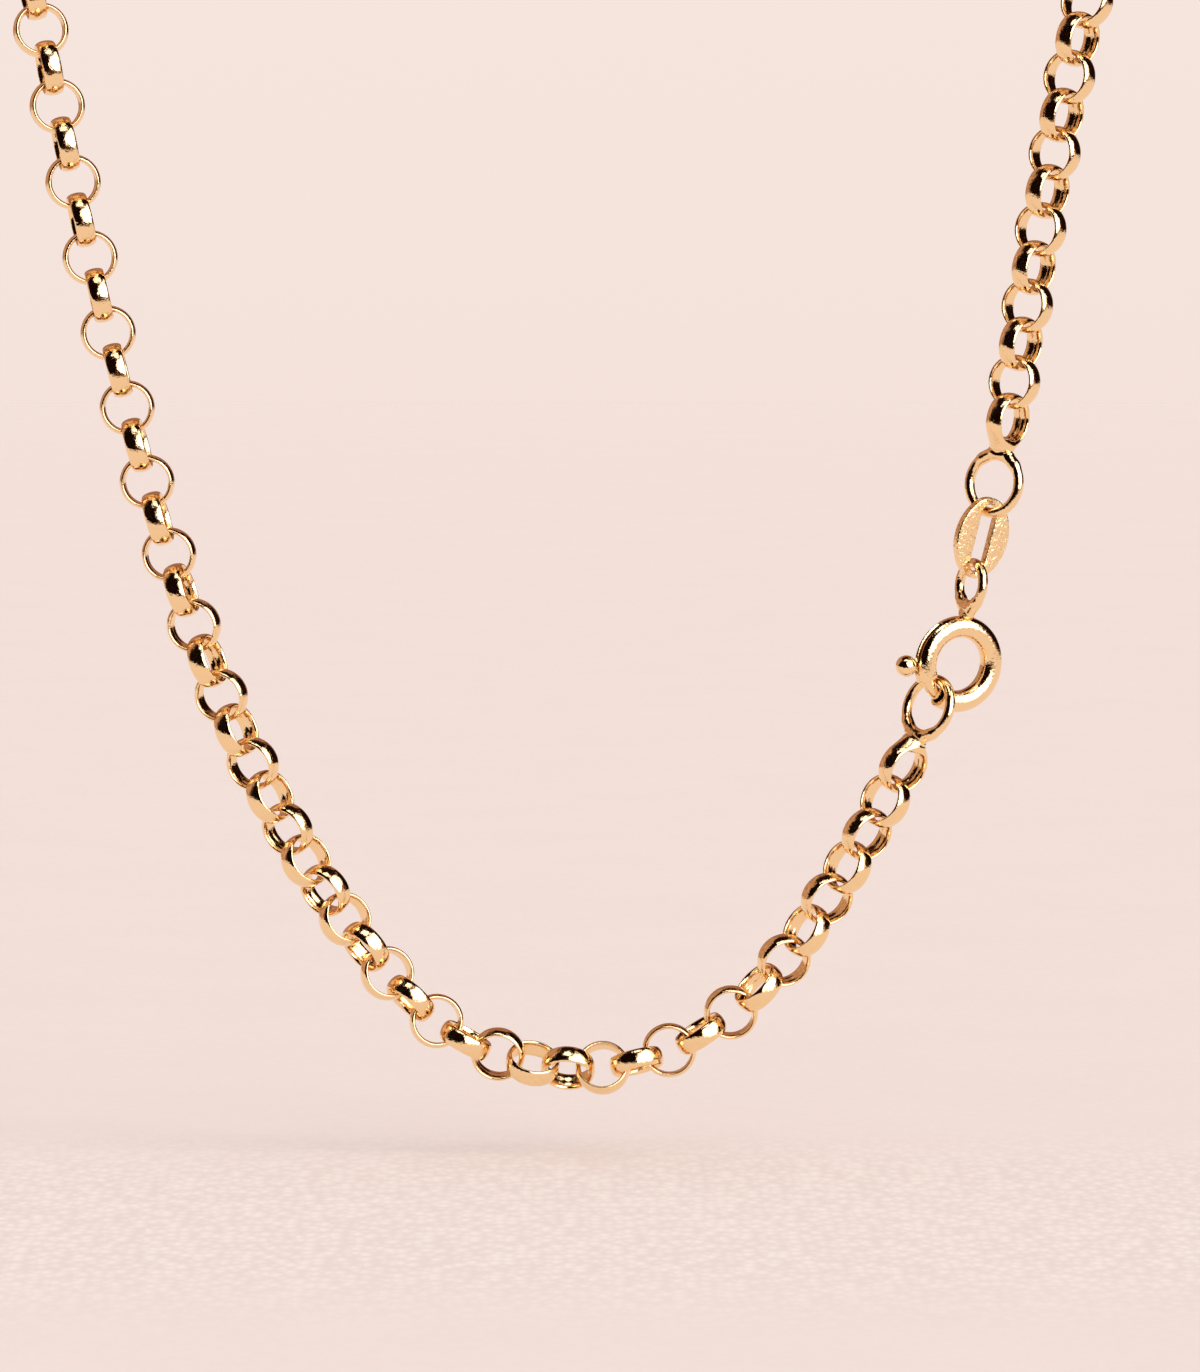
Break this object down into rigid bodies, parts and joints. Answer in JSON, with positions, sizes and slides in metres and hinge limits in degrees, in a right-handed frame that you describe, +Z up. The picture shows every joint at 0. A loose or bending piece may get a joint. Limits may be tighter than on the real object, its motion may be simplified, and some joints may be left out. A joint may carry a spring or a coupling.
{
  "type": "rolo chain necklace",
  "caption": "Round-link gold chain necklace hanging as a closed loop, joined by a bolt ring with a sprung bolt, a slotted tag link and two soldered jump rings.",
  "frame": {"origin": "the nape, on the middle of the chain where the necklace hangs behind the neck", "axes": "+Z up, -Y towards the viewer of the front, +X to the viewer's right, where the clasp hangs"},
  "size_m": [0.1001, 0.0957, 0.1275],
  "materials": {
    "polished_gold": "polished 9 ct yellow gold",
    "tag_gold": "9 ct yellow gold, polished and finely scratched"
  },
  "bodies": {
    "necklace": {"chain_front": "polished_gold", "chain_back": "polished_gold", "lower_end_ring": "polished_gold", "upper_end_ring": "polished_gold", "tag_link": "tag_gold", "bolt_ring": "polished_gold"},
    "bolt": {"bolt": "polished_gold"}
  },
  "joints": [
    {"name": "bolt_draw", "type": "hinge", "parent": "necklace", "child": "bolt", "pos_m": [0.02505, -0.091, -0.0939], "axis": [-0.4637, 0.8829, 0.0734], "range_deg": [0, 50], "stiffness_Nm_per_rad": 0.003, "springref_deg": -28.65}
  ]
}
